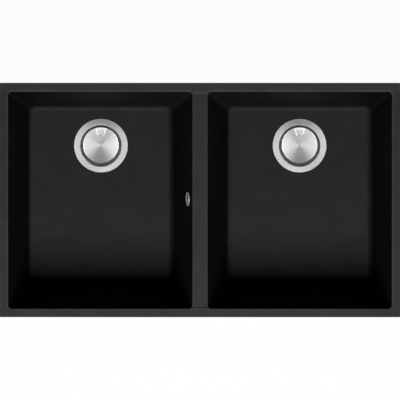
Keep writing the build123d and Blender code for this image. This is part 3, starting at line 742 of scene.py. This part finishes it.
def waste_body_mesh(with_inlet):
    """The funnel with its threaded outlet and spider, and the left one's side inlet."""
    body = outward(ring_mesh("waste body", turned(body_outline())))
    added = [spider_mesh()]
    if with_inlet:
        tip = INLET_END + NOZZLE
        stub = [
            (INLET_R, BODY_BORE_R - INLET_INSET),
            (INLET_R, INLET_END),
            (NOZZLE_R, INLET_END),
            (NOZZLE_R, tip - NOZZLE_EDGE),
            (NOZZLE_R - NOZZLE_EDGE, tip),
        ]
        added.append(inlet_form("inlet", stub))
    body = joined(body, added, "UNION")
    if with_inlet:
        bore = [(NOZZLE_BORE_R, BODY_BORE_R / 2), (NOZZLE_BORE_R, tip + OVERLAP)]
        body = joined(body, [inlet_form("bore", bore)], "DIFFERENCE")
    return body


for side, x in SIDES.items():
    data = moved(waste_body_mesh(side == "left"), Matrix.Translation((x, WASTE_Y, 0)))
    data.materials.clear()
    data.materials.append(FINISHES["waste_body"])
    body = finished(f"{side}_threaded_waste_body", data)
    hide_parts(f"{side}_waste_body")
    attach(body, "sink")


# ---- overflow hose -------------------------------------------------------------------------
def hose_line():
    """Points along the hose's own smooth line."""
    data = bpy.data.curves.new("hose route", "CURVE")
    data.dimensions = "3D"
    data.resolution_u = HOSE_FINENESS
    spline = data.splines.new("NURBS")
    spline.points.add(len(HOSE_ROUTE) - 1)
    for point, place in zip(spline.points, HOSE_ROUTE):
        point.co = (*place, 1.0)
    spline.order_u = 3
    spline.use_endpoint_u = True
    route = bpy.data.objects.new("hose route", data)
    line = bpy.data.meshes.new_from_object(route)
    points = [vertex.co.copy() for vertex in line.vertices]
    bpy.data.objects.remove(route)
    return points


def hose_radius(way, ribbed):
    """Rounded ribs between two plain cuffs."""
    if not 0 < way - HOSE_CUFF < ribbed:
        return HOSE_ROOT_R
    ribs = round(ribbed / HOSE_PITCH)
    swell = 0.5 - 0.5 * math.cos(2 * math.pi * (way - HOSE_CUFF) / ribbed * ribs)
    share = min(1.0, HOSE_RIB_GAIN * swell**HOSE_RIB_POWER)
    return HOSE_ROOT_R + (HOSE_CREST_R - HOSE_ROOT_R) * share


def hose_mesh(line):
    """A ribbed tube round that line, with its bore."""
    lengths = [0.0]
    for before, after in zip(line, line[1:]):
        lengths.append(lengths[-1] + (after - before).length)
    total = lengths[-1]
    ribbed = total - 2 * HOSE_CUFF
    steps = round(ribbed / HOSE_PITCH) * HOSE_STEPS
    ways = [0.0] + [HOSE_CUFF + ribbed * i / steps for i in range(steps + 1)] + [total]
    across = (line[-1] - line[0]).cross(line[1] - line[0]).normalized()
    turns = [2 * math.pi * j / HOSE_ROUND for j in range(HOSE_ROUND)]
    outer, inner = [], []
    k = 0
    for way in ways:
        while k < len(line) - 2 and lengths[k + 1] < way:
            k += 1
        along = (line[k + 1] - line[k]).normalized()
        centre = line[k] + along * (way - lengths[k])
        beside = across.cross(along)
        spokes = [across * math.cos(turn) + beside * math.sin(turn) for turn in turns]
        for rings, radius in ((outer, hose_radius(way, ribbed)), (inner, HOSE_BORE_R)):
            rings.append([centre + radius * spoke for spoke in spokes])
    return ring_mesh("hose", outer + inner[::-1])


line = hose_line()
data = hose_mesh(line)
data.materials.append(FINISHES["overflow_hose"])
hose = finished("ribbed_overflow_hose", data, smooth_angle=HOSE_SMOOTH_ANGLE)
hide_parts("overflow_hose")
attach(hose, "sink")


# ---- stage ---------------------------------------------------------------------------------
def larger(tree, first, second):
    made = tree.nodes.new("ShaderNodeMath")
    made.operation = "MAXIMUM"
    tree.links.new(first, made.inputs[0])
    tree.links.new(second, made.inputs[1])
    return made.outputs[0]


def either_shader(tree, share, first, second):
    """The first shader at a share of 0, the second at 1."""
    made = tree.nodes.new("ShaderNodeMixShader")
    for socket, output in zip(made.inputs, (share, first, second)):
        tree.links.new(output, socket)
    return made.outputs[0]


def is_seen(tree):
    """1 for rays that show the background: from the camera, or by way of metal or glass."""
    rays = tree.nodes.new("ShaderNodeLightPath")
    seen = rays.outputs["Is Camera Ray"]
    for other in ("Is Glossy Ray", "Is Transmission Ray"):
        seen = larger(tree, seen, rays.outputs[other])
    return seen


def floor_material():
    """White where it is seen, but for a share that takes the shadow; clear from and to below."""
    material = bpy.data.materials.new("floor")
    material.use_nodes = True
    tree = material.node_tree
    tree.nodes.clear()
    matt = tree.nodes.new("ShaderNodeBsdfDiffuse")
    matt.inputs["Color"].default_value = FLOOR_MATT
    white = tree.nodes.new("ShaderNodeEmission")
    clear = tree.nodes.new("ShaderNodeBsdfTransparent")
    share = tree.nodes.new("ShaderNodeMath")
    share.operation = "MULTIPLY"
    share.inputs[1].default_value = 1.0 - FLOOR_SHADOW
    tree.links.new(is_seen(tree), share.inputs[0])
    lit = either_shader(tree, share.outputs[0], matt.outputs[0], white.outputs[0])
    face = tree.nodes.new("ShaderNodeNewGeometry")
    rays = tree.nodes.new("ShaderNodeLightPath")
    passing = larger(tree, face.outputs["Backfacing"], rays.outputs["Is Shadow Ray"])
    both = either_shader(tree, passing, lit, clear.outputs[0])
    output = tree.nodes.new("ShaderNodeOutputMaterial")
    tree.links.new(both, output.inputs[0])
    return material


def make_floor():
    half = FLOOR_SIZE / 2
    level = CAD_BOUNDS[0].z
    data = bpy.data.meshes.new("floor")
    corners = [(-half, -half), (half, -half), (half, half), (-half, half)]
    data.from_pydata([(*corner, level) for corner in corners], [], [(0, 1, 2, 3)])
    data.materials.append(floor_material())
    floor = bpy.data.objects.new("floor", data)
    bpy.context.scene.collection.objects.link(floor)


def make_world():
    """White for the camera, and a dim light for all else."""
    world = bpy.data.worlds.new("world")
    bpy.context.scene.world = world
    world.use_nodes = True
    tree = world.node_tree
    tree.nodes.clear()
    dim = tree.nodes.new("ShaderNodeBackground")
    dim.inputs["Strength"].default_value = WORLD_LIGHT
    white = tree.nodes.new("ShaderNodeBackground")
    white.inputs["Color"].default_value = WHITE
    rays = tree.nodes.new("ShaderNodeLightPath")
    choice = either_shader(tree, rays.outputs["Is Camera Ray"], dim.outputs[0], white.outputs[0])
    output = tree.nodes.new("ShaderNodeOutputWorld")
    tree.links.new(choice, output.inputs[0])


def aimed_at(target, position):
    """Placed at a position, its -Z axis towards the target and its X axis level."""
    back = (position - target).normalized()
    right = Vector((0, 1, 0)).cross(back).normalized()
    turn = Matrix((right, back.cross(right), back)).transposed()
    return Matrix.Translation(position) @ turn.to_4x4()


def leaning(angle, x, y):
    """The way up, leant by so many degrees towards a side."""
    lean = math.radians(angle)
    return (x * math.sin(lean), y * math.sin(lean), math.cos(lean))


def softbox(name, direction, distance, size, power, shiny=False, lit=None):
    """A rectangular lamp for matt surfaces or for shiny ones, of all pieces or of one set."""
    data = bpy.data.lights.new(name, "AREA")
    data.shape = "RECTANGLE"
    data.size, data.size_y = size
    data.energy = power
    light = bpy.data.objects.new(name, data)
    light.visible_diffuse = not shiny
    light.visible_glossy = shiny
    target = Vector(LAMP_TARGET)
    light.matrix_world = aimed_at(target, target + Vector(direction).normalized() * distance)
    bpy.context.scene.collection.objects.link(light)
    if lit is not None:
        light.light_linking.receiver_collection = lit


def piece_sets():
    """What some lamps are kept to: most fittings, the cover discs, and the overflow's cover."""
    fittings = bpy.data.collections.new("metal")
    discs = bpy.data.collections.new("discs")
    for piece in bpy.context.scene.objects:
        if piece.type == "MESH" and piece is not NODES["sink_body"]:
            chosen = discs if piece.name.endswith("cover_disc") else fittings
            chosen.objects.link(piece)
    overflow = bpy.data.collections.new("overflow")
    overflow.objects.link(NODES["overflow_rosette"])
    overflow.objects.link(NODES["overflow_screw"])
    return fittings, discs, overflow


def make_lights():
    fittings, discs, overflow = piece_sets()
    softbox("key", leaning(KEY_ANGLE, 0, -1), KEY_DISTANCE, KEY_SIZE, KEY_POWER)
    softbox("under", UNDER_WAY, UNDER_DISTANCE, UNDER_SIZE, UNDER_POWER)
    way = leaning(GLOSS_ANGLE, 0, -1)
    softbox("key gloss", way, GLOSS_DISTANCE, KEY_GLOSS_SIZE, KEY_GLOSS, shiny=True)
    for side in (-1, 1):
        way = leaning(GLOSS_ANGLE, side, 0)
        for name, size, power, lit in (
            (f"side {side}", SIDE_SIZE, SIDE_GLOSS, fittings),
            (f"cover side {side}", COVER_SIDE_SIZE, COVER_SIDE_GLOSS, discs),
        ):
            softbox(name, way, SIDE_DISTANCE, size, power, shiny=True, lit=lit)
    softbox("left", leaning(LEFT_ANGLE, -1, 0), LEFT_DISTANCE, LEFT_SIZE, LEFT_POWER, lit=overflow)


def make_camera():
    data = bpy.data.cameras.new("camera")
    data.lens = LENS
    data.sensor_width = SENSOR
    data.clip_end = CLIP_END
    camera = bpy.data.objects.new("camera", data)
    back = math.radians(CAMERA_TO_BACK)
    right = math.radians(CAMERA_TO_RIGHT)
    way = Vector((math.tan(right), math.tan(back), 1.0)).normalized()
    middle = Vector(PICTURE_MIDDLE)
    camera.matrix_world = aimed_at(middle, middle + way * PICTURE_WIDTH * LENS / SENSOR)
    bpy.context.scene.collection.objects.link(camera)
    bpy.context.scene.camera = camera


make_floor()
make_world()
make_lights()
make_camera()
bpy.context.scene.view_settings.view_transform = "Standard"
